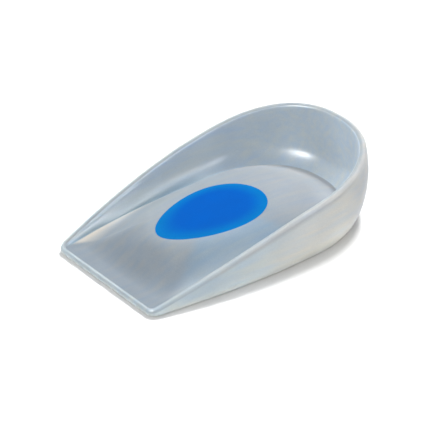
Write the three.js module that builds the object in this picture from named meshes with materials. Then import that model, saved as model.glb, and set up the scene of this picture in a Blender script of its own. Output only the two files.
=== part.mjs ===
// A silicone heel cup: a moulded translucent bowl that cradles the heel inside a shoe, open and thin at
// the front, with an egg-shaped spot of softer blue gel set flush into its raised floor.
//
// Millimetres, +Z up. The sole lies on Z = 0. +Y points to the back of the heel and the straight front
// edge faces -Y. The origin is under the middle of the overall length and width.
import * as THREE from 'three';

// Driving dimensions: the outline
const LENGTH = 106.8; // straight front edge to the back of the heel
const WIDTH = 67.4; // widest, across the outer wall
const FRONT_WIDTH = 53.6; // across the straight front edge, between the sides
const FRONT_CORNER = 3.6; // plan radius of the two front corners
const WIDEST_AT = 70; // distance of the widest place behind the front edge
const BACK_SQUARENESS = 2.25; // 2 is a half ellipse, more is squarer

// Driving dimensions: heights and walls
const HEEL_HEIGHT = 28.4; // top of the rim at the back of the heel
const FRONT_HEIGHT = 2.6; // thickness of the front edge
const RIM_THICKNESS = 2.5; // wall at the rim
const RIM_ROUND = 1.1; // height of the rounding over the rim
const RIM_LEAN = 0.8; // how far the rim leans in from the widest part of the wall
const FRONT_INSET = 1.1; // how far the flat sole lies behind the front face
const SIDE_INSET = 2.2; // how far it lies inside the outer wall at the sides
const HEEL_INSET = 8.5; // and at the back of the heel
const SIDE_ROUND = 3.4; // height of the rounding from the sole up to the outer wall at the sides
const HEEL_ROUND = 18; // and at the back of the heel
const HEEL_STARTS = 50; // where the rounding begins to grow, behind the front edge
const ROUND_SHARE = 0.78; // the most of the outer wall's height that the rounding takes

// Driving dimensions: the floor inside
const WALL_BASE = 7.3; // wall between the outside and the crease where the floor starts, at the sides
const HEEL_BASE = 8.7; // the same at the back of the heel
const FRONT_LIP = 2.6; // from the front face to the start of the floor
const LIP_DROP = 0.4; // from the front edge's top down to the floor behind it
const CREASE_HEIGHT = 4.6; // the crease above the sole, where the cup is widest
const BEND_HEIGHT = 8.2; // the bend above the sole, where the upright wall turns in towards the crease
const BEND_SHARE = 0.7; // the most of the wall's height above the crease that the bend stands at
const BEND_ROUND = 3; // how far above the bend its rounding begins
const WALL_SHARE = 0.1; // how much of the way in to the crease the wall above the bend takes
const PAD_HEIGHT = 10.2; // raised floor at the middle of the soft spot
const PAD_SETBACK = 0.16; // flat floor behind the front edge, as a share of the way to the spot
const PAD_SLOPE = 0.025; // rise of the raised floor for each millimetre towards the heel
const PAD_FULLNESS = 1.8; // how quickly the floor rises from the crease

// Driving dimensions: the soft spot
const SPOT_LENGTH = 44.8;
const SPOT_WIDTH = 27;
const SPOT_CENTRE = 45.9; // behind the front edge
const SPOT_EGG = 0.2; // how much wider its heel end is than its front end
const SPOT_DEPTH = 5.4;
const SPOT_TAPER = 3.2; // how much its underside draws in all round
const SPOT_CROWN = 0.35; // rise of its top in the middle
const CLEARANCE = 0.3; // between the soft spot and its seat

// Height of the rim from front to back, as shares of the length and of the rise from front to heel.
const RIM_LINE = [
  { along: 0, rise: 0 },
  { along: 0.25, rise: 0.3 },
  { along: 0.5, rise: 0.56 },
  { along: 0.75, rise: 0.755 },
  { along: 1, rise: 1 },
];

// Height of the crease from front to back, as shares of the length and of the crease's own height.
const CREASE_LINE = [
  { along: 0, rise: 0 },
  { along: 0.2, rise: 0.65 },
  { along: 0.5, rise: 0.93 },
  { along: 0.75, rise: 0.9 },
  { along: 1, rise: 1 },
];

// Steps of the mesh
const FRONT_STEPS = 5; // along half the front edge
const CORNER_STEPS = 5;
const SIDE_STEPS = 18;
const BACK_STEPS = 22; // round half the heel
const SOLE_ROUND_STEPS = 6;
const OUTER_WALL_STEPS = 2;
const RIM_STEPS = 6;
const INNER_WALL_STEPS = 3;
const BEND_STEPS = 6;
const FLOOR_STEPS = 9;
const SPOT_STEPS = 4;

const mix = (from, to, share) => from + (to - from) * share;
const smooth = (share) => share * share * (3 - 2 * share);

// Reads a table of rise against along as one smooth line, with the slope at each row set by its neighbours.
function readLine(table, along) {
  const at = THREE.MathUtils.clamp(along, 0, 1);
  const row = Math.max(0, table.findLastIndex((entry) => entry.along <= at && entry.along < 1));
  const slopeAt = (index) => {
    const before = table[Math.max(index - 1, 0)];
    const after = table[Math.min(index + 1, table.length - 1)];
    return (after.rise - before.rise) / (after.along - before.along);
  };
  const span = table[row + 1].along - table[row].along;
  const share = (at - table[row].along) / span;
  const settled = smooth(share);
  const bend = share * (1 - share) * span;
  return mix(table[row].rise, table[row + 1].rise, settled)
    + bend * (slopeAt(row) * (1 - share) - slopeAt(row + 1) * share);
}

// A closed plan outline, anticlockwise from the middle of the front edge: a straight front with rounded
// corners, sides that swell towards the widest place, and a rounded back. Each outline has the same steps,
// so that outlines can be joined point by point.
function outline({ front, back, halfFront, halfWide, corner }) {
  const widest = mix(front, back, WIDEST_AT / LENGTH);
  const swell = halfWide - halfFront;
  const lean = Math.atan(2 * swell / (widest - front - corner));
  const arcX = halfFront - corner * Math.cos(lean);
  const arcY = front + corner;
  const sideStart = arcY - corner * Math.sin(lean);
  const half = [];
  for (let step = 0; step < FRONT_STEPS; step += 1) {
    half.push(new THREE.Vector2(arcX * step / FRONT_STEPS, front));
  }
  for (let step = 0; step < CORNER_STEPS; step += 1) {
    const angle = mix(-Math.PI / 2, -lean, step / CORNER_STEPS);
    half.push(new THREE.Vector2(arcX + corner * Math.cos(angle), arcY + corner * Math.sin(angle)));
  }
  for (let step = 0; step < SIDE_STEPS; step += 1) {
    const share = step / SIDE_STEPS;
    half.push(new THREE.Vector2(halfWide - swell * (1 - share) ** 2, mix(sideStart, widest, share)));
  }
  for (let step = 0; step <= BACK_STEPS; step += 1) {
    const angle = (Math.PI / 2) * step / BACK_STEPS;
    const across = Math.max(Math.cos(angle), 0) ** (2 / BACK_SQUARENESS);
    const along = Math.sin(angle) ** (2 / BACK_SQUARENESS);
    half.push(new THREE.Vector2(step === BACK_STEPS ? 0 : halfWide * across, mix(widest, back, along)));
  }
  const mirrored = half.slice(1, -1).reverse().map((point) => new THREE.Vector2(-point.x, point.y));
  return [...half, ...mirrored];
}

const belly = outline({
  front: 0, back: LENGTH, halfFront: FRONT_WIDTH / 2, halfWide: WIDTH / 2, corner: FRONT_CORNER,
});
const outer = outline({
  front: 0,
  back: LENGTH - RIM_LEAN,
  halfFront: FRONT_WIDTH / 2,
  halfWide: WIDTH / 2 - RIM_LEAN,
  corner: FRONT_CORNER,
});
const sole = outline({
  front: FRONT_INSET,
  back: LENGTH - HEEL_INSET,
  halfFront: FRONT_WIDTH / 2 - FRONT_INSET,
  halfWide: WIDTH / 2 - SIDE_INSET,
  corner: FRONT_CORNER - FRONT_INSET,
});
const innerRim = outline({
  front: FRONT_LIP / 2,
  back: LENGTH - RIM_LEAN - RIM_THICKNESS,
  halfFront: FRONT_WIDTH / 2 - RIM_THICKNESS * 0.8,
  halfWide: WIDTH / 2 - RIM_LEAN - RIM_THICKNESS,
  corner: FRONT_CORNER - FRONT_LIP / 2,
});
const crease = outline({
  front: FRONT_LIP,
  back: LENGTH - HEEL_BASE,
  halfFront: FRONT_WIDTH / 2 - RIM_THICKNESS,
  halfWide: WIDTH / 2 - WALL_BASE,
  corner: FRONT_CORNER - FRONT_LIP / 2,
});

// The egg-shaped outline of the soft spot drawn in all round by inset, point for point with the others.
function spotOutline(inset) {
  return outer.map((point) => {
    const angle = Math.atan2((point.y - SPOT_CENTRE) / SPOT_LENGTH, point.x / SPOT_WIDTH);
    const bulge = 1 + SPOT_EGG * Math.sin(angle);
    return new THREE.Vector2(
      (SPOT_WIDTH / 2 - inset) * Math.cos(angle) * bulge,
      SPOT_CENTRE + (SPOT_LENGTH / 2 - inset) * Math.sin(angle),
    );
  });
}

const rimHeight = (y) => mix(FRONT_HEIGHT, HEEL_HEIGHT, readLine(RIM_LINE, y / LENGTH));
const creaseHeight = (y) => mix(FRONT_HEIGHT - LIP_DROP, CREASE_HEIGHT, readLine(CREASE_LINE, y / LENGTH));
const padHeight = (y) => PAD_HEIGHT + PAD_SLOPE * (y - SPOT_CENTRE);

// A ring of 3-D points part of the way from one outline to another, at heights worked out for each place.
function ring(from, to, share, heightOf) {
  return from.map((point, index) => {
    const plan = point.clone().lerp(to[index], share);
    return new THREE.Vector3(plan.x, plan.y, heightOf(index));
  });
}

// Skins a stack of rings, closing the first and the last onto a middle point each.
function skin(rings) {
  const count = rings[0].length;
  const middle = (points) => points
    .reduce((sum, point) => sum.add(point), new THREE.Vector3()).divideScalar(points.length);
  const points = [middle(rings[0]), ...rings.flat(), middle(rings.at(-1))];
  const at = (level, step) => 1 + level * count + (step % count);
  const faces = [];
  for (let step = 0; step < count; step += 1) {
    faces.push(0, at(0, step + 1), at(0, step));
    for (let level = 0; level + 1 < rings.length; level += 1) {
      faces.push(at(level, step), at(level, step + 1), at(level + 1, step + 1));
      faces.push(at(level, step), at(level + 1, step + 1), at(level + 1, step));
    }
    faces.push(points.length - 1, at(rings.length - 1, step), at(rings.length - 1, step + 1));
  }
  const geometry = new THREE.BufferGeometry().setFromPoints(points);
  geometry.setIndex(faces);
  geometry.computeVertexNormals();
  return geometry;
}

// The sole, its rounded edge and the outer wall, from the ground up to the start of the rim.
function outerRings() {
  const top = (index) => rimHeight(outer[index].y) - RIM_ROUND;
  const round = (index) => {
    const along = (outer[index].y - HEEL_STARTS) / (LENGTH - HEEL_STARTS);
    const heelward = smooth(THREE.MathUtils.clamp(along, 0, 1));
    return Math.min(mix(SIDE_ROUND, HEEL_ROUND, heelward), top(index) * ROUND_SHARE);
  };
  const rings = [];
  for (let step = 0; step <= SOLE_ROUND_STEPS; step += 1) {
    const angle = (Math.PI / 2) * step / SOLE_ROUND_STEPS;
    rings.push(ring(sole, belly, Math.sin(angle), (index) => round(index) * (1 - Math.cos(angle))));
  }
  for (let step = 1; step < OUTER_WALL_STEPS; step += 1) {
    const share = step / OUTER_WALL_STEPS;
    rings.push(ring(belly, outer, share ** 2, (index) => mix(round(index), top(index), share)));
  }
  return rings;
}

// The rounding over the rim, from the outside to the inside. At the thin front edge it runs out on the floor.
function rimRings() {
  const rings = [];
  for (let step = 0; step <= RIM_STEPS; step += 1) {
    const angle = Math.PI * step / RIM_STEPS;
    const across = (1 - Math.cos(angle)) / 2;
    rings.push(ring(outer, innerRim, across, (index) => {
      const height = rimHeight(outer[index].y);
      const inside = Math.min(RIM_ROUND, height - creaseHeight(outer[index].y));
      const drop = angle > Math.PI / 2 ? inside : RIM_ROUND;
      return height - drop * (1 - Math.sin(angle));
    }));
  }
  return rings;
}

// The inner wall, then the rounded bend and the slope that carry it in to the crease.
function innerRings() {
  const foot = (index) => creaseHeight(outer[index].y);
  const top = (index) => Math.max(rimHeight(outer[index].y) - RIM_ROUND, foot(index));
  const bend = (index) => Math.min(BEND_HEIGHT, mix(foot(index), top(index), BEND_SHARE));
  const bendTop = (index) => Math.min(bend(index) + BEND_ROUND, mix(bend(index), top(index), 0.8));
  const rings = [];
  for (let step = 1; step < INNER_WALL_STEPS; step += 1) {
    const share = step / INNER_WALL_STEPS;
    rings.push(ring(innerRim, crease, WALL_SHARE * share, (index) => mix(top(index), bendTop(index), share)));
  }
  for (let step = 0; step <= BEND_STEPS; step += 1) {
    const share = step / BEND_STEPS;
    rings.push(ring(innerRim, crease, mix(WALL_SHARE, 1, share ** 2), (index) => {
      const onWall = mix(bendTop(index), bend(index), share);
      const onSlope = mix(bend(index), foot(index), share);
      return mix(onWall, onSlope, share);
    }));
  }
  return rings;
}

// The raised floor, from the crease in to the edge of the soft spot's seat. It swells at once from the
// crease at the sides and heel, and rises slowly from the thin front edge.
function floorRings(seat) {
  const rings = [];
  for (let step = 1; step <= FLOOR_STEPS; step += 1) {
    const share = step / FLOOR_STEPS;
    const ramp = smooth(Math.max(share - PAD_SETBACK, 0) / (1 - PAD_SETBACK));
    const swell = 1 - (1 - share) ** PAD_FULLNESS;
    rings.push(ring(crease, seat, share, (index) => {
      const heelward = smooth(Math.min(outer[index].y / SPOT_CENTRE, 1));
      return mix(creaseHeight(outer[index].y), padHeight(seat[index].y), mix(ramp, swell, heelward));
    }));
  }
  return rings;
}

function cupGeometry() {
  const seat = spotOutline(0);
  const seatFoot = spotOutline(SPOT_TAPER);
  const seatFloor = PAD_HEIGHT - SPOT_DEPTH;
  return skin([
    ...outerRings(),
    ...rimRings(),
    ...innerRings(),
    ...floorRings(seat),
    ring(seat, seatFoot, 1, () => seatFloor),
  ]);
}

// The gel spot fills its seat but for the clearance, with a slightly crowned top.
function spotGeometry() {
  const edge = spotOutline(CLEARANCE);
  const foot = spotOutline(SPOT_TAPER + CLEARANCE);
  const middle = edge.map(() => new THREE.Vector2(0, SPOT_CENTRE));
  const rings = [ring(foot, foot, 0, () => PAD_HEIGHT - SPOT_DEPTH + CLEARANCE)];
  for (let step = 0; step < SPOT_STEPS; step += 1) {
    const share = step / SPOT_STEPS;
    rings.push(ring(edge, middle, share, (index) => {
      const y = mix(edge[index].y, SPOT_CENTRE, share);
      return padHeight(y) + SPOT_CROWN * (1 - (1 - share) ** 2);
    }));
  }
  return skin(rings);
}

function piece(name, geometry, look) {
  const mesh = new THREE.Mesh(geometry, new THREE.MeshStandardMaterial(look));
  mesh.name = name;
  mesh.position.y = -LENGTH / 2;
  return mesh;
}

const heelCup = new THREE.Group();
heelCup.add(
  piece('cup_shell', cupGeometry(), { color: 0xc4d0da, roughness: 0.35, metalness: 0 }),
  piece('soft_spot', spotGeometry(), { color: 0x0069cf, roughness: 0.45, metalness: 0 }),
);

export default heelCup;
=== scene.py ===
"""A translucent silicone heel cup with a blue gel spot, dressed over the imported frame.

Shapes are worked out in millimetres, with y the distance behind the front edge. The meshes and all
else are in metres, in the frame of the CAD: +Z up, the sole on Z = 0, +Y to the back of the heel.
"""
import math

import bpy
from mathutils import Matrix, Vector


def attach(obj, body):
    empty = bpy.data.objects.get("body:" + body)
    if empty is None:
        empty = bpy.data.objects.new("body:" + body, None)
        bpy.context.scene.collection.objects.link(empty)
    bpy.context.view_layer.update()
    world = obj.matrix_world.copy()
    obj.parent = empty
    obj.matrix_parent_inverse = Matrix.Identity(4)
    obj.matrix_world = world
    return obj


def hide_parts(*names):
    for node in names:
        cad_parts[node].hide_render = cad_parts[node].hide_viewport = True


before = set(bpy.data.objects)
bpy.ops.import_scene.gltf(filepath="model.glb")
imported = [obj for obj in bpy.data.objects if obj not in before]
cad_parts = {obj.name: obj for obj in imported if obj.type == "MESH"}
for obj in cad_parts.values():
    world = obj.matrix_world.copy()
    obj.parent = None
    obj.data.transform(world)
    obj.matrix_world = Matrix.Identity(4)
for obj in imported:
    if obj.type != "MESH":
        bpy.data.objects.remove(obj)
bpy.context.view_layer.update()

MM = 0.001

# The sizes of the shapes are those of the CAD's source, apart from CLEARANCE and the steps of the mesh.
# Outline
LENGTH = 106.8  # straight front edge to the back of the heel
WIDTH = 67.4  # widest, across the outer wall
FRONT_WIDTH = 53.6
FRONT_CORNER = 3.6  # plan radius of the front corners
WIDEST_AT = 70  # the widest place, behind the front edge
BACK_SQUARENESS = 2.25  # 2 is a half ellipse, more is squarer

# Heights and walls
HEEL_HEIGHT = 28.4  # the rim at the back of the heel
FRONT_HEIGHT = 2.6
RIM_THICKNESS = 2.5
FRONT_RIM_SHARE = 0.8  # of that thickness, what the rim has at the front corners
RIM_ROUND = 1.1  # height of the rounding over the rim
RIM_LEAN = 0.8  # how far the rim leans in from the widest part of the wall
FRONT_INSET = 1.1  # how far the flat sole lies inside the outer wall at the front,
SIDE_INSET = 2.2  # at the sides
HEEL_INSET = 8.5  # and at the back of the heel
SIDE_ROUND = 3.4  # height of the rounding from the sole up to the outer wall at the sides
HEEL_ROUND = 18  # and at the back of the heel
HEEL_STARTS = 50  # where that rounding begins to grow
ROUND_SHARE = 0.78  # the most of the outer wall's height that it takes

# The floor inside
WALL_BASE = 7.3  # from the outside to the crease round the floor, at the sides
HEEL_BASE = 8.7  # and at the back of the heel
FRONT_LIP = 2.6  # from the front face to the start of the floor
LIP_DROP = 0.4  # from the top of the front edge down to the floor behind it
CREASE_HEIGHT = 4.6
BEND_HEIGHT = 8.2  # where the upright inner wall turns in towards the crease
BEND_SHARE = 0.7  # the most of the wall's height above the crease that the bend stands at
BEND_ROUND = 3  # how far above the bend its rounding begins,
BEND_ROUND_SHARE = 0.8  # and the most of the wall above the bend that it takes
WALL_SHARE = 0.1  # how much of the way in to the crease the wall above the bend takes
PAD_HEIGHT = 10.2  # the raised floor at the middle of the gel
PAD_SETBACK = 0.16  # flat floor behind the front edge, as a share of the way to the gel
PAD_SLOPE = 0.025  # rise of the raised floor for each millimetre towards the heel
PAD_FULLNESS = 1.8  # how quickly the floor rises from the crease

# The soft spot
SPOT_LENGTH = 44.8
SPOT_WIDTH = 27
SPOT_CENTRE = 45.9  # behind the front edge
SPOT_EGG = 0.2  # how much wider its heel end is than its front end
SPOT_DEPTH = 5.4
SPOT_TAPER = 3.2  # how much its underside draws in all round
SPOT_CROWN = 0.35  # rise of its top in the middle
CLEARANCE = 0.03  # between the gel and its seat, less than in the CAD so that no gap shows

# Heights of the rim and the crease from front to back, as shares of the length and of the rise
RIM_LINE = [(0, 0), (0.25, 0.3), (0.5, 0.56), (0.75, 0.755), (1, 1)]
CREASE_LINE = [(0, 0), (0.2, 0.65), (0.5, 0.93), (0.75, 0.9), (1, 1)]

# Steps of the mesh
FRONT_STEPS = 20  # along half the front edge
CORNER_STEPS = 14
SIDE_STEPS = 64
BACK_STEPS = 84  # round half the heel
SOLE_ROUND_STEPS = 16
OUTER_WALL_STEPS = 8
RIM_STEPS = 14
INNER_WALL_STEPS = 8
BEND_STEPS = 22
FLOOR_STEPS = 34
SEAT_STEPS = 4
SPOT_STEPS = 16


def mix(a, b, share):
    return a + (b - a) * share


def smooth(share):
    return share * share * (3 - 2 * share)


def clamp(value):
    return max(0.0, min(1.0, value))


def rise(value, span):
    """Goes smoothly from 0 to 1 while the value goes from the start of the span to its end."""
    start, end = span
    return smooth(clamp((value - start) / (end - start)))


def read_line(table, along):
    """Reads a table of (along, rise) as one smooth line."""
    at = clamp(along)
    row = max(i for i, (start, _) in enumerate(table[:-1]) if start <= at)

    def slope(index):
        before = table[max(index - 1, 0)]
        after = table[min(index + 1, len(table) - 1)]
        return (after[1] - before[1]) / (after[0] - before[0])

    span = table[row + 1][0] - table[row][0]
    share = (at - table[row][0]) / span
    bend = share * (1 - share) * span
    return (mix(table[row][1], table[row + 1][1], smooth(share))
            + bend * (slope(row) * (1 - share) - slope(row + 1) * share))


def outline(front, back, half_front, half_wide, corner):
    """A closed plan outline, anticlockwise from the middle of the front edge."""
    widest = mix(front, back, WIDEST_AT / LENGTH)
    swell = half_wide - half_front
    lean = math.atan(2 * swell / (widest - front - corner))
    arc_x = half_front - corner * math.cos(lean)
    arc_y = front + corner
    side_start = arc_y - corner * math.sin(lean)
    half = [(arc_x * step / FRONT_STEPS, front) for step in range(FRONT_STEPS)]
    for step in range(CORNER_STEPS):
        angle = mix(-math.pi / 2, -lean, step / CORNER_STEPS)
        half.append((arc_x + corner * math.cos(angle), arc_y + corner * math.sin(angle)))
    for step in range(SIDE_STEPS):
        share = step / SIDE_STEPS
        half.append((half_wide - swell * (1 - share) ** 2, mix(side_start, widest, share)))
    for step in range(BACK_STEPS + 1):
        angle = math.pi / 2 * step / BACK_STEPS
        across = max(math.cos(angle), 0) ** (2 / BACK_SQUARENESS)
        along = math.sin(angle) ** (2 / BACK_SQUARENESS)
        half.append((0.0 if step == BACK_STEPS else half_wide * across, mix(widest, back, along)))
    return half + [(-x, y) for x, y in reversed(half[1:-1])]


# The widest part of the wall, the outside of the rim, the sole, the inside of the rim and the crease
BELLY = outline(0, LENGTH, FRONT_WIDTH / 2, WIDTH / 2, FRONT_CORNER)
OUTER = outline(0, LENGTH - RIM_LEAN, FRONT_WIDTH / 2, WIDTH / 2 - RIM_LEAN, FRONT_CORNER)
SOLE = outline(FRONT_INSET, LENGTH - HEEL_INSET, FRONT_WIDTH / 2 - FRONT_INSET, WIDTH / 2 - SIDE_INSET,
               FRONT_CORNER - FRONT_INSET)
INNER_RIM = outline(FRONT_LIP / 2, LENGTH - RIM_LEAN - RIM_THICKNESS,
                    FRONT_WIDTH / 2 - RIM_THICKNESS * FRONT_RIM_SHARE,
                    WIDTH / 2 - RIM_LEAN - RIM_THICKNESS, FRONT_CORNER - FRONT_LIP / 2)
CREASE = outline(FRONT_LIP, LENGTH - HEEL_BASE, FRONT_WIDTH / 2 - RIM_THICKNESS, WIDTH / 2 - WALL_BASE,
                 FRONT_CORNER - FRONT_LIP / 2)
COUNT = len(OUTER)


def spot_outline(inset):
    """The egg-shaped outline of the gel, drawn in all round by inset, point for point with the others."""
    points = []
    for x, y in OUTER:
        angle = math.atan2((y - SPOT_CENTRE) / SPOT_LENGTH, x / SPOT_WIDTH)
        bulge = 1 + SPOT_EGG * math.sin(angle)
        points.append(((SPOT_WIDTH / 2 - inset) * math.cos(angle) * bulge,
                       SPOT_CENTRE + (SPOT_LENGTH / 2 - inset) * math.sin(angle)))
    return points


def rim_height(y):
    return mix(FRONT_HEIGHT, HEEL_HEIGHT, read_line(RIM_LINE, y / LENGTH))


def crease_height(y):
    return mix(FRONT_HEIGHT - LIP_DROP, CREASE_HEIGHT, read_line(CREASE_LINE, y / LENGTH))


def pad_height(y):
    return PAD_HEIGHT + PAD_SLOPE * (y - SPOT_CENTRE)


RIM_AT = [rim_height(y) for _, y in OUTER]
CREASE_AT = [crease_height(y) for _, y in OUTER]


def ring(start, end, share, height_of):
    """A ring of 3-D points part of the way from one outline to another."""
    points = []
    for index in range(COUNT):
        x = mix(start[index][0], end[index][0], share)
        y = mix(start[index][1], end[index][1], share)
        points.append((x, y, height_of(index)))
    return points


def outer_rings():
    """The rounding up from the sole, and the outer wall up to the rim."""
    def top(index):
        return RIM_AT[index] - RIM_ROUND

    def rounding(index):
        heelward = rise(OUTER[index][1], (HEEL_STARTS, LENGTH))
        return min(mix(SIDE_ROUND, HEEL_ROUND, heelward), top(index) * ROUND_SHARE)

    rings = []
    for step in range(SOLE_ROUND_STEPS + 1):
        angle = math.pi / 2 * step / SOLE_ROUND_STEPS
        rings.append(ring(SOLE, BELLY, math.sin(angle), lambda i: rounding(i) * (1 - math.cos(angle))))
    for step in range(1, OUTER_WALL_STEPS):
        share = step / OUTER_WALL_STEPS
        rings.append(ring(BELLY, OUTER, share ** 2, lambda i: mix(rounding(i), top(i), share)))
    return rings


def rim_rings():
    """The rounding over the rim, which runs out on the floor at the thin front edge."""
    rings = []
    for step in range(RIM_STEPS + 1):
        angle = math.pi * step / RIM_STEPS

        def height(index):
            inner = min(RIM_ROUND, RIM_AT[index] - CREASE_AT[index])
            drop = inner if angle > math.pi / 2 else RIM_ROUND
            return RIM_AT[index] - drop * (1 - math.sin(angle))

        rings.append(ring(OUTER, INNER_RIM, (1 - math.cos(angle)) / 2, height))
    return rings


def inner_rings():
    """The inner wall, then the rounded bend and the slope in to the crease."""
    def top(index):
        return max(RIM_AT[index] - RIM_ROUND, CREASE_AT[index])

    def bend(index):
        return min(BEND_HEIGHT, mix(CREASE_AT[index], top(index), BEND_SHARE))

    def bend_top(index):
        return min(bend(index) + BEND_ROUND, mix(bend(index), top(index), BEND_ROUND_SHARE))

    rings = []
    for step in range(1, INNER_WALL_STEPS):
        share = step / INNER_WALL_STEPS
        rings.append(ring(INNER_RIM, CREASE, WALL_SHARE * share, lambda i: mix(top(i), bend_top(i), share)))
    for step in range(BEND_STEPS + 1):
        share = step / BEND_STEPS

        def height(index):
            on_wall = mix(bend_top(index), bend(index), share)
            on_slope = mix(bend(index), CREASE_AT[index], share)
            return mix(on_wall, on_slope, share)

        rings.append(ring(INNER_RIM, CREASE, mix(WALL_SHARE, 1, share ** 2), height))
    return rings


def floor_rings(edge):
    """The raised floor from the crease to the edge of the seat: a swell at the heel, a ramp in front."""
    rings = []
    for step in range(1, FLOOR_STEPS + 1):
        share = step / FLOOR_STEPS
        ramp = smooth(max(share - PAD_SETBACK, 0) / (1 - PAD_SETBACK))
        swell = 1 - (1 - share) ** PAD_FULLNESS

        def height(index):
            heelward = smooth(min(OUTER[index][1] / SPOT_CENTRE, 1))
            return mix(CREASE_AT[index], pad_height(edge[index][1]), mix(ramp, swell, heelward))

        rings.append(ring(CREASE, edge, share, height))
    return rings


def seat_rings(edge, foot):
    """The sides of the seat, from the raised floor down to the seat's foot."""
    rings = []
    for step in range(1, SEAT_STEPS + 1):
        share = step / SEAT_STEPS
        rings.append(ring(edge, foot, share,
                          lambda i: mix(pad_height(edge[i][1]), PAD_HEIGHT - SPOT_DEPTH, share)))
    return rings


def gel_rings(edge, foot):
    """The foot of the gel, then its crowned top from the edge in to the middle."""
    middle = [(0.0, SPOT_CENTRE)] * COUNT
    rings = [ring(foot, foot, 0, lambda i: PAD_HEIGHT - SPOT_DEPTH + CLEARANCE)]
    for step in range(SPOT_STEPS):
        share = step / SPOT_STEPS
        crown = SPOT_CROWN * (1 - (1 - share) ** 2)
        rings.append(ring(edge, middle, share,
                          lambda i: pad_height(mix(edge[i][1], SPOT_CENTRE, share)) + crown))
    return rings


# Tones, as 8-bit display values. The silicone's tones are its milky colour with painted light and shade:
# where they differ from place to place, they stand for how light passes through and falls on the silicone,
# not for its own colour, so they differ left and right although the cup is symmetric.
# The outside: its wall from front to heel, the foot of the wall, and the left side. The foot is painted
# lighter, as painted light, and the heel and the left side darker, as painted shade
OUTER_FRONT = (202, 213, 218)
OUTER_SIDE = (191, 203, 210)
OUTER_WALL = (205, 207, 206)
OUTER_HEEL_SHADE = (168, 171, 175)
OUTER_FRONT_FOOT_LIGHT = (223, 229, 229)
OUTER_FOOT_LIGHT = (219, 219, 213)
OUTER_LEFT_SHADE = (172, 178, 183)
# The rim
FRONT_EDGE = (180, 192, 199)
SIDE_EDGE = (184, 188, 191)
HEEL_EDGE = (174, 176, 178)
INNER_EDGE = (156, 164, 170)
# The inner wall, its right side towards the heel painted lighter, as painted light
UPPER_WALL = (201, 213, 223)
UPPER_BACK_WALL = (203, 214, 222)
UPPER_RIGHT_WALL_LIGHT = (222, 233, 242)
LOWER_FRONT_WALL = (147, 166, 180)
LOWER_WALL = (194, 209, 224)
LOWER_BACK_WALL = (187, 203, 217)
LOWER_RIGHT_WALL_LIGHT = (207, 218, 226)
# The floor, with painted shade darkest at the front and bluish on the right, and a band of painted light
# along its crease
FRONT_FLOOR = (129, 139, 149)
MIDDLE_FLOOR = (139, 148, 156)
HEEL_FLOOR = (141, 147, 154)
RIGHT_FLOOR_SHADE = (132, 149, 164)
RIGHT_BAND = (144, 156, 167)
FRONT_BAND_LIGHT = (192, 187, 180)
SHOULDER_BAND = (134, 143, 152)
HEEL_BAND_LIGHT = (162, 165, 169)
# The gel, and a painted glow of its blue through the floor beside it, on the front right
GEL_EDGE = (3, 103, 167)
GEL_MIDDLE = (0, 79, 164)
GEL_BLUE_GLOW_PAINTED = (44, 104, 166)

# Where one tone passes into the next, as (start, end): distances behind the front edge
OUTER_FRONT_TO_SIDE = (0, 18)
OUTER_SIDE_TO_WALL = (32, 62)
OUTER_WALL_TO_HEEL = (75, 95)
FOOT_FRONT_TO_SIDE = (35, 58)
OUTER_LEFT_STARTS = (6, 20)
EDGE_FRONT_TO_SIDE = (0, 60)
EDGE_SIDE_TO_HEEL = (80, 100)
FRONT_EDGE_TO_WALL = (0.5, 3.5)
UPPER_WALL_TO_BACK = (75, 100)
LOWER_FRONT_TO_WALL = (46, 84)
LOWER_WALL_TO_BACK = (80, 100)
FLOOR_FRONT_TO_MIDDLE = (8, 30)
FLOOR_MIDDLE_TO_HEEL = (50, 80)
RIGHT_FLOOR_STARTS = (4, 16)
RIGHT_FLOOR_ENDS = (77, 63)
BAND_STARTS = (1, 5)
BAND_WIDENS = (40, 80)
BAND_FRONT_TO_SHOULDER = (14, 60)
BAND_SHOULDER_TO_HEEL = (76, 86)
# Distances to the right of the middle, seen from the front edge
OUTER_LEFT_ACROSS = (8, -14)
UPPER_RIGHT_ACROSS = (-10, 20)
LOWER_RIGHT_ACROSS = (-15, 5)
RIGHT_FLOOR_ACROSS = (-15.7, 29.2)
FRONT_BAND_ACROSS = (WIDTH / 2, -WIDTH / 2)
# Shares: of the way over the rim, down the inner wall, and from the crease to the gel
EDGE_TO_INNER_EDGE = (0.45, 0.57)
INNER_EDGE_TO_WALL = (0.72, 0.87)
UPPER_TO_LOWER = (0.45, 0.95)
RIGHT_BAND_TO_FLOOR = (0.1, 0.5)
HALO_STARTS = (0.87, 1)

FOOT_SHARE = 0.55  # how far up the outer wall the painted light of its foot reaches, as a share of the rim's height
BAND_SHARE = 0.32  # how far in from the crease the band of painted light reaches, as a share of the way to the gel
HEEL_BAND_SHARE = 0.5  # and behind the gel
GEL_MARGIN_FROM = -0.01  # the paler margin of the gel, as shares of the way in to its middle
LEFT_MARGIN_TO = 0.3
RIGHT_MARGIN_TO = 0.45
RIGHTWARD = 0.6  # which way the margin grows wider, as painted light through the gel's edge
FRONTWARD = 0.4


def srgb(red, green, blue):
    """A colour from its 8-bit display values."""
    def linear(value):
        value /= 255
        return value / 12.92 if value <= 0.04045 else ((value + 0.055) / 1.055) ** 2.4
    return (linear(red), linear(green), linear(blue), 1)


def blend(first, second, share):
    return tuple(mix(a, b, share) for a, b in zip(first, second))


def blend_over(first, second, value, span):
    """Passes from the first tone to the second while the value goes over the span."""
    return blend(first, second, rise(value, span))


def tones_of(rings, tone):
    """The tone of each point of each ring."""
    return [[tone(step, index, point) for index, point in enumerate(level)]
            for step, level in enumerate(rings)]


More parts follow.
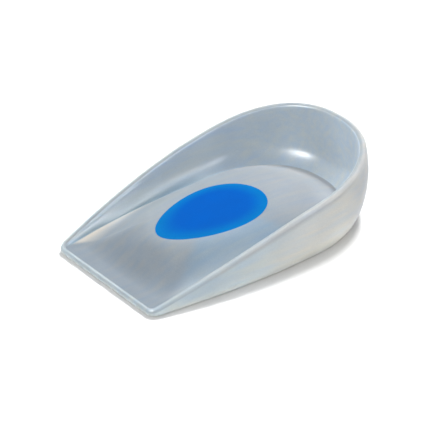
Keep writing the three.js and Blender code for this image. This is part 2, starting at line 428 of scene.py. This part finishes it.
def outer_tones(rings):
    def tone(_, index, point):
        x, y, z = point
        wall = blend_over(OUTER_FRONT, OUTER_SIDE, y, OUTER_FRONT_TO_SIDE)
        wall = blend_over(wall, OUTER_WALL, y, OUTER_SIDE_TO_WALL)
        # The foot is painted lighter, as painted light, and the heel and the left side darker, as painted
        # shade.
        foot = blend_over(OUTER_FRONT_FOOT_LIGHT, OUTER_FOOT_LIGHT, y, FOOT_FRONT_TO_SIDE)
        wall = blend_over(foot, wall, z, (0, FOOT_SHARE * RIM_AT[index]))
        wall = blend_over(wall, OUTER_HEEL_SHADE, y, OUTER_WALL_TO_HEEL)
        return blend(wall, OUTER_LEFT_SHADE, rise(x, OUTER_LEFT_ACROSS) * rise(y, OUTER_LEFT_STARTS))
    return tones_of(rings, tone)


def wall_tone(x, y, depth):
    """The tone of the inner wall at a depth from 0, under the rim, to 1, at the crease, with painted light
    on its right side towards the heel.
    """
    # Painted light on the right side of the inner wall, towards the heel.
    upper_back = blend_over(UPPER_BACK_WALL, UPPER_RIGHT_WALL_LIGHT, x, UPPER_RIGHT_ACROSS)
    upper = blend_over(UPPER_WALL, upper_back, y, UPPER_WALL_TO_BACK)
    lower_back = blend_over(LOWER_BACK_WALL, LOWER_RIGHT_WALL_LIGHT, x, LOWER_RIGHT_ACROSS)
    lower = blend_over(LOWER_FRONT_WALL, LOWER_WALL, y, LOWER_FRONT_TO_WALL)
    lower = blend_over(lower, lower_back, y, LOWER_WALL_TO_BACK)
    return blend_over(upper, lower, depth, UPPER_TO_LOWER)


def edge_tones(rings):
    """The rim, whose inner side already has the tone of the wall below it except at the front edge."""
    def tone(step, index, point):
        x, y, _ = point
        share = step / RIM_STEPS
        edge = blend_over(FRONT_EDGE, SIDE_EDGE, y, EDGE_FRONT_TO_SIDE)
        edge = blend_over(edge, HEEL_EDGE, y, EDGE_SIDE_TO_HEEL)
        edge = blend_over(edge, INNER_EDGE, share, EDGE_TO_INNER_EDGE)
        inward = blend_over(INNER_EDGE, wall_tone(x, y, 0), OUTER[index][1], FRONT_EDGE_TO_WALL)
        return blend_over(edge, inward, share, INNER_EDGE_TO_WALL)
    return tones_of(rings, tone)


def inner_tones(rings):
    def tone(step, index, point):
        wall = wall_tone(point[0], point[1], (step + 1) / len(rings))
        return blend_over(FRONT_FLOOR, wall, OUTER[index][1], FRONT_EDGE_TO_WALL)
    return tones_of(rings, tone)


def gel_side(edge, index):
    """From 0 at the back left of the gel to 1 at its front right, where painted light shows its blue through
    its edge and widens its pale margin.
    """
    x, y = edge[index]
    return rise(RIGHTWARD * x - FRONTWARD * (y - SPOT_CENTRE), (-SPOT_WIDTH / 2, SPOT_WIDTH / 2))


def floor_tones(rings, edge):
    """Painted shade darkest at the front and bluish on the right, with a band of painted light along the
    crease and a painted glow of the gel's blue beside it.
    """
    def tone(step, index, point):
        middle = blend_over(FRONT_FLOOR, MIDDLE_FLOOR, point[1], FLOOR_FRONT_TO_MIDDLE)
        middle = blend_over(middle, HEEL_FLOOR, point[1], FLOOR_MIDDLE_TO_HEEL)
        share = (step + 1) / len(rings)
        x, y = OUTER[index]
        # Painted shade, bluish, on the right of the floor.
        right = blend_over(RIGHT_BAND, RIGHT_FLOOR_SHADE, share, RIGHT_BAND_TO_FLOOR)
        rightness = rise(x, RIGHT_FLOOR_ACROSS) * rise(y, RIGHT_FLOOR_STARTS) * rise(y, RIGHT_FLOOR_ENDS)
        middle = blend(middle, right, rightness)
        # Painted glow of the gel's blue through the floor, on its front right.
        beside = blend(middle, GEL_BLUE_GLOW_PAINTED, gel_side(edge, index))
        middle = blend_over(middle, beside, share, HALO_STARTS)
        # A band of painted light along the crease, stronger on the left towards the front.
        band = blend_over(FRONT_BAND_LIGHT, SHOULDER_BAND, y, BAND_FRONT_TO_SHOULDER)
        band = blend_over(band, HEEL_BAND_LIGHT, y, BAND_SHOULDER_TO_HEEL)
        heelward = rise(y, BAND_WIDENS)
        strength = rise(share, (mix(BAND_SHARE, HEEL_BAND_SHARE, heelward), 0))
        strength *= mix(rise(x, FRONT_BAND_ACROSS), 1, heelward) * rise(y, BAND_STARTS)
        return blend(middle, band, strength)
    return tones_of(rings, tone)


def gel_tones(rings, edge):
    """Deep blue, paler towards the margin, where the gel is thin, and with painted light widening that
    margin at the front right.
    """
    def tone(step, index, _):
        margin = mix(LEFT_MARGIN_TO, RIGHT_MARGIN_TO, gel_side(edge, index))
        return blend_over(GEL_EDGE, GEL_MIDDLE, (step - 1) / len(rings), (GEL_MARGIN_FROM, margin))
    return tones_of(rings, tone)


def skin(name, rings, tones, sharp_level):
    """Joins a stack of rings, closed onto a middle point at each end, with an edge along the sharp level."""
    def middle(points):
        return tuple(sum(values) / len(points) for values in zip(*points))

    points = [middle(rings[0])] + [point for level in rings for point in level] + [middle(rings[-1])]
    faces = []
    last = len(rings) - 1
    for step in range(COUNT):
        after = (step + 1) % COUNT
        faces.append((0, 1 + after, 1 + step))
        for level in range(last):
            low, high = 1 + level * COUNT, 1 + (level + 1) * COUNT
            faces.append((low + step, low + after, high + after, high + step))
        faces.append((len(points) - 1, 1 + last * COUNT + step, 1 + last * COUNT + after))
    mesh = bpy.data.meshes.new(name)
    mesh.from_pydata([(x * MM, (y - LENGTH / 2) * MM, z * MM) for x, y, z in points], [], faces)
    mesh.validate()
    for polygon in mesh.polygons:
        polygon.use_smooth = True
    sharp = range(1 + sharp_level * COUNT, 1 + (sharp_level + 1) * COUNT)
    for mesh_edge in mesh.edges:
        mesh_edge.use_edge_sharp = mesh_edge.vertices[0] in sharp and mesh_edge.vertices[1] in sharp
    colours = [tones[0][0]] + [tone for level in tones for tone in level] + [tones[-1][0]]
    layer = mesh.attributes.new("tone", "FLOAT_COLOR", "POINT")
    layer.data.foreach_set("color", [value for colour in colours for value in srgb(*colour)])
    piece = bpy.data.objects.new(name, mesh)
    bpy.context.scene.collection.objects.link(piece)
    return piece


def make_cup():
    seat_edge = spot_outline(0)
    outside, over_rim, inside = outer_rings(), rim_rings(), inner_rings()
    floor_inside, seat = floor_rings(seat_edge), seat_rings(seat_edge, spot_outline(SPOT_TAPER))
    above_seat = outside + over_rim + inside + floor_inside
    tones = outer_tones(outside) + edge_tones(over_rim) + inner_tones(inside)
    tones += floor_tones(floor_inside + seat, seat_edge)
    return skin("silicone_cup", above_seat + seat, tones, len(above_seat) - 1)


def make_spot():
    rings = gel_rings(spot_outline(CLEARANCE), spot_outline(SPOT_TAPER + CLEARANCE))
    return skin("gel_spot", rings, gel_tones(rings, spot_outline(0)), 1)


cup, spot = make_cup(), make_spot()
for piece, node, slot in ((cup, "cup_shell", "clear_silicone"), (spot, "soft_spot", "blue_gel")):
    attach(piece, "root")
    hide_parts(node)

# Materials: scales of the noises, in repeats a metre, and the factors each noise turns the colour by
NOISE_RANGE = (0.3, 0.7)  # a noise mostly keeps between these
CLOUD_SCALE = 60
CLOUD_TINT = (0.96, 1.04)
FLOW_SCALE = 420
FLOW_STRETCH = (1, 0.1, 1)  # flow lines are longer along the cup
FLOW_TINT = (1.01, 1.07)
GRAIN_SCALE = 2600
GRAIN_TINT = (0.97, 1.03)
COOL_CAST = (0.92, 0.96, 1, 1)
WARM_CAST = (1, 0.96, 0.9, 1)
GEL_CLOUD_SCALE = 140
GEL_CLOUD_TINT = (0.97, 1.03)
GEL_GRAIN_SCALE = 2200
BUMP_HEIGHT = 0.00002
SILICONE_ROUGHNESS = (0.3, 0.36)  # from about 0.27 down, the denoised render shows blotches
GEL_ROUGHNESS = (0.42, 0.5)


def new_material(name):
    material = bpy.data.materials.new(name)
    material.use_nodes = True
    nodes = material.node_tree.nodes
    return material, nodes, material.node_tree.links, nodes["Principled BSDF"]


def add_noise(nodes, links, coordinates, scale, detail):
    noise = nodes.new("ShaderNodeTexNoise")
    noise.inputs["Scale"].default_value = scale
    noise.inputs["Detail"].default_value = detail
    links.new(coordinates, noise.inputs["Vector"])
    return noise.outputs["Fac"]


def add_range(nodes, links, noise, span):
    """Turns a noise into a value that keeps mostly within the span."""
    remap = nodes.new("ShaderNodeMapRange")
    remap.clamp = False
    remap.inputs["From Min"].default_value = NOISE_RANGE[0]
    remap.inputs["From Max"].default_value = NOISE_RANGE[1]
    remap.inputs["To Min"].default_value = span[0]
    remap.inputs["To Max"].default_value = span[1]
    links.new(noise, remap.inputs["Value"])
    return remap.outputs["Result"]


def add_tint(nodes, links, colour, noise, span):
    """Makes a colour lighter and darker with a noise, by a factor within the span."""
    tint = nodes.new("ShaderNodeVectorMath")
    tint.operation = "SCALE"
    links.new(colour, tint.inputs[0])
    links.new(add_range(nodes, links, noise, span), tint.inputs["Scale"])
    return tint.outputs["Vector"]


def add_hue(nodes, links, colour, noise, cool, warm):
    """Shifts a colour between a cool and a warm cast with a noise."""
    cast = nodes.new("ShaderNodeValToRGB")
    for stop, position, shade in zip(cast.color_ramp.elements, NOISE_RANGE, (cool, warm)):
        stop.position = position
        stop.color = shade
    links.new(noise, cast.inputs["Fac"])
    shift = nodes.new("ShaderNodeVectorMath")
    shift.operation = "MULTIPLY"
    links.new(colour, shift.inputs[0])
    links.new(cast.outputs["Color"], shift.inputs[1])
    return shift.outputs["Vector"]


def add_bump(nodes, links, shader, height, distance):
    bump = nodes.new("ShaderNodeBump")
    bump.inputs["Distance"].default_value = distance
    links.new(height, bump.inputs["Height"])
    links.new(bump.outputs["Normal"], shader.inputs["Normal"])


def silicone():
    """Milky silicone: cloudy, with faint flow lines along the mould and a fine grain."""
    material, nodes, links, shader = new_material("milky_silicone")
    # The tone on the mesh: the silicone's colour together with its painted light and shade.
    tone = nodes.new("ShaderNodeAttribute")
    tone.attribute_name = "tone"
    place = nodes.new("ShaderNodeTexCoord").outputs["Object"]
    stretched = nodes.new("ShaderNodeMapping")
    stretched.inputs["Scale"].default_value = FLOW_STRETCH
    links.new(place, stretched.inputs["Vector"])
    clouds = add_noise(nodes, links, place, CLOUD_SCALE, detail=2)
    flow = add_noise(nodes, links, stretched.outputs["Vector"], FLOW_SCALE, detail=2)
    grain = add_noise(nodes, links, place, GRAIN_SCALE, detail=1)
    colour = add_tint(nodes, links, tone.outputs["Color"], clouds, CLOUD_TINT)
    colour = add_tint(nodes, links, colour, flow, FLOW_TINT)
    colour = add_hue(nodes, links, colour, flow, COOL_CAST, WARM_CAST)
    colour = add_tint(nodes, links, colour, grain, GRAIN_TINT)
    links.new(colour, shader.inputs["Base Color"])
    links.new(add_range(nodes, links, clouds, SILICONE_ROUGHNESS), shader.inputs["Roughness"])
    add_bump(nodes, links, shader, grain, BUMP_HEIGHT)
    shader.inputs["Subsurface Weight"].default_value = 0.6
    shader.inputs["Subsurface Radius"].default_value = (1.0, 1.0, 1.0)
    shader.inputs["Subsurface Scale"].default_value = 0.0022
    shader.inputs["Specular IOR Level"].default_value = 0.3
    shader.inputs["IOR"].default_value = 1.41
    return material


def gel():
    """Soft blue gel, slightly uneven in depth of colour."""
    material, nodes, links, shader = new_material("blue_gel")
    tone = nodes.new("ShaderNodeAttribute")
    tone.attribute_name = "tone"
    place = nodes.new("ShaderNodeTexCoord").outputs["Object"]
    clouds = add_noise(nodes, links, place, GEL_CLOUD_SCALE, detail=2)
    grain = add_noise(nodes, links, place, GEL_GRAIN_SCALE, detail=1)
    colour = add_tint(nodes, links, tone.outputs["Color"], clouds, GEL_CLOUD_TINT)
    colour = add_tint(nodes, links, colour, grain, GRAIN_TINT)
    links.new(colour, shader.inputs["Base Color"])
    links.new(add_range(nodes, links, clouds, GEL_ROUGHNESS), shader.inputs["Roughness"])
    add_bump(nodes, links, shader, grain, BUMP_HEIGHT)
    shader.inputs["Specular IOR Level"].default_value = 0.01
    return material


cup.data.materials.append(silicone())
spot.data.materials.append(gel())

# Camera: the angle and distance fitted to the photograph
AZIMUTH = math.radians(50.106)
ELEVATION = math.radians(31.411)
DISTANCE = 0.6
FOCAL_PIXELS = 1732.2
FRAME_PIXELS = 430
SENSOR = 36
AIM = Vector((0, 0, 0.010))
AIM_PIXEL = (11.816, 9.457)  # right of and above the middle of the frame

to_camera = Vector((math.sin(AZIMUTH) * math.cos(ELEVATION), -math.cos(AZIMUTH) * math.cos(ELEVATION),
                    math.sin(ELEVATION)))
camera_data = bpy.data.cameras.new("camera")
camera_data.sensor_width = SENSOR
camera_data.lens = FOCAL_PIXELS / FRAME_PIXELS * SENSOR
camera_data.shift_x = -AIM_PIXEL[0] / FRAME_PIXELS
camera_data.shift_y = -AIM_PIXEL[1] / FRAME_PIXELS
camera = bpy.data.objects.new("camera", camera_data)
camera.location = AIM + to_camera * DISTANCE
camera.rotation_mode = "QUATERNION"
camera.rotation_quaternion = (-to_camera).to_track_quat("-Z", "Y")
bpy.context.scene.collection.objects.link(camera)
bpy.context.scene.camera = camera


def area_light(name, direction, distance, target, size, power):
    """A rectangular light that lies in a direction from the origin and faces the target."""
    data = bpy.data.lights.new(name, "AREA")
    data.shape = "RECTANGLE"
    data.size, data.size_y = size
    data.energy = power
    light = bpy.data.objects.new(name, data)
    position = Vector(direction).normalized() * distance
    light.location = position
    light.rotation_mode = "QUATERNION"
    light.rotation_quaternion = (Vector(target) - position).to_track_quat("-Z", "Y")
    bpy.context.scene.collection.objects.link(light)
    return light


# Soft light from behind on the left. The silicone lets it through, so it throws no shadow and lights
# the cup alone.
key = area_light("key", direction=(-0.62, 0.42, 0.66), distance=0.9, target=(0, 0.01, 0.01),
                 size=(0.4, 0.4), power=4)
key.visible_glossy = False
key.data.use_shadow = False
lit_by_key = bpy.data.collections.new("lit_by_key")
for piece in (cup, spot):
    lit_by_key.objects.link(piece)
key.light_linking.receiver_collection = lit_by_key
# Light from above and behind, which throws the narrow shadow at the foot of the near wall
overhead = area_light("overhead", direction=(-0.22, 0.5, 1), distance=0.9, target=(0, 0.01, 0),
                      size=(0.18, 0.18), power=7.2)
overhead.visible_glossy = False
# Two lights seen only as highlights: on the bend behind the heel, and along the bend of the left wall
sparkle = area_light("sparkle", direction=(0, -0.81, 0.62), distance=0.7, target=(-0.012, 0.046, 0.008),
                     size=(0.26, 0.15), power=24)
sparkle.visible_diffuse = False
streak = area_light("streak", direction=(0.848, 0.53, 0.41), distance=0.8, target=(-0.028, 0.005, 0.007),
                    size=(0.1, 0.06), power=4)
streak.visible_diffuse = False

# Floor and surroundings
FLOOR_REACH = 3
FLOOR_COLOUR = (0.95, 0.95, 0.95, 1)
WORLD_COLOUR = (1, 1, 1, 1)
WORLD_STRENGTH = 0.6

floor_corners = [(x * FLOOR_REACH, y * FLOOR_REACH, 0) for x, y in ((-1, -1), (1, -1), (1, 1), (-1, 1))]
floor_mesh = bpy.data.meshes.new("floor")
floor_mesh.from_pydata(floor_corners, [], [(0, 1, 2, 3)])
floor = bpy.data.objects.new("floor", floor_mesh)
bpy.context.scene.collection.objects.link(floor)
floor_material, _, _, floor_shader = new_material("white_table")
floor_shader.inputs["Base Color"].default_value = FLOOR_COLOUR
floor_shader.inputs["Roughness"].default_value = 0.9
floor_shader.inputs["Specular IOR Level"].default_value = 0.1
floor_mesh.materials.append(floor_material)

world = bpy.data.worlds.new("studio")
bpy.context.scene.world = world
world.use_nodes = True
world.node_tree.nodes["Background"].inputs["Color"].default_value = WORLD_COLOUR
world.node_tree.nodes["Background"].inputs["Strength"].default_value = WORLD_STRENGTH
bpy.context.scene.view_settings.view_transform = "Standard"
